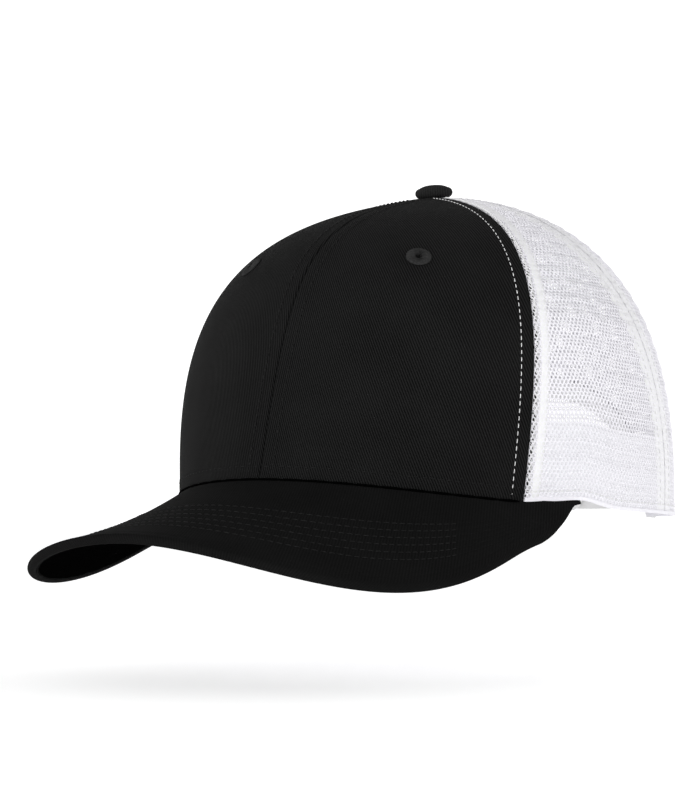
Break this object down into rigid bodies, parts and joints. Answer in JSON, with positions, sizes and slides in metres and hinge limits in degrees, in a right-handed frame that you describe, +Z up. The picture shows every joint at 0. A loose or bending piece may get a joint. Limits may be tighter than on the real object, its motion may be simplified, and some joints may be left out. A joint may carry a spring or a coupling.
{
  "type": "trucker mesh cap",
  "caption": "Panelled cap with a stiffened solid front, open mesh sides and back, a curved visor and an adjustable snap closure under a rear arch.",
  "frame": {"origin": "centre of the head opening at the level of the hem, where the head goes in", "axes": "+Z up through the top button, the visor points along -Y, +X to the wearer's left"},
  "size_m": [0.1718, 0.2808, 0.146],
  "materials": {
    "twill_black": "matt cotton twill, fine steep diagonal ribs",
    "lining_black": "matt plain-weave cotton under the visor",
    "thread_black": "polyester embroidery and stitching thread with a slight sheen",
    "mesh_white": "stiff knitted polyester mesh with small open cells",
    "tape_white": "matt woven tape",
    "sweatband_white": "soft brushed cotton band",
    "buckram": "stiff coarse open-weave stiffener",
    "visor_board": "flat moulded polyethylene sheet",
    "snap_white": "satin moulded plastic",
    "button_steel": "pressed plated steel"
  },
  "bodies": {
    "crown": {"front_panel_left": "twill_black", "front_panel_right": "twill_black", "buckram_left": "buckram", "buckram_right": "buckram", "side_mesh_left": "mesh_white", "side_mesh_right": "mesh_white", "rear_mesh_left": "mesh_white", "rear_mesh_right": "mesh_white", "seam_tape_front": "tape_white", "seam_tape_side_left": "tape_white", "seam_tape_side_right": "tape_white", "seam_tape_rear_side_left": "tape_white", "seam_tape_rear_side_right": "tape_white", "seam_tape_rear": "tape_white", "arch_binding": "tape_white", "sweatband": "sweatband_white", "visor_top_cover": "twill_black", "visor_board": "visor_board", "visor_under_cover": "lining_black", "eyelet_left": "thread_black", "eyelet_right": "thread_black", "button_cover": "twill_black", "button_shell": "button_steel", "button_washer": "button_steel", "hole_strap_tab": "snap_white", "peg_strap_tab": "snap_white"},
    "outer_strap": {"hole_strap": "snap_white"},
    "inner_strap": {"peg_strap": "snap_white"}
  },
  "joints": [
    {"name": "hole_strap_swing", "type": "hinge", "parent": "crown", "child": "outer_strap", "pos_m": [0.0443, 0.0879, -0.0045], "axis": [0.1421, 0.2743, -0.9511], "range_deg": [0, 75], "stiffness_Nm_per_rad": 0.01},
    {"name": "peg_strap_swing", "type": "hinge", "parent": "crown", "child": "inner_strap", "pos_m": [-0.0443, 0.0879, -0.0045], "axis": [-0.1421, 0.2743, -0.9511], "range_deg": [0, 45], "stiffness_Nm_per_rad": 0.01}
  ]
}
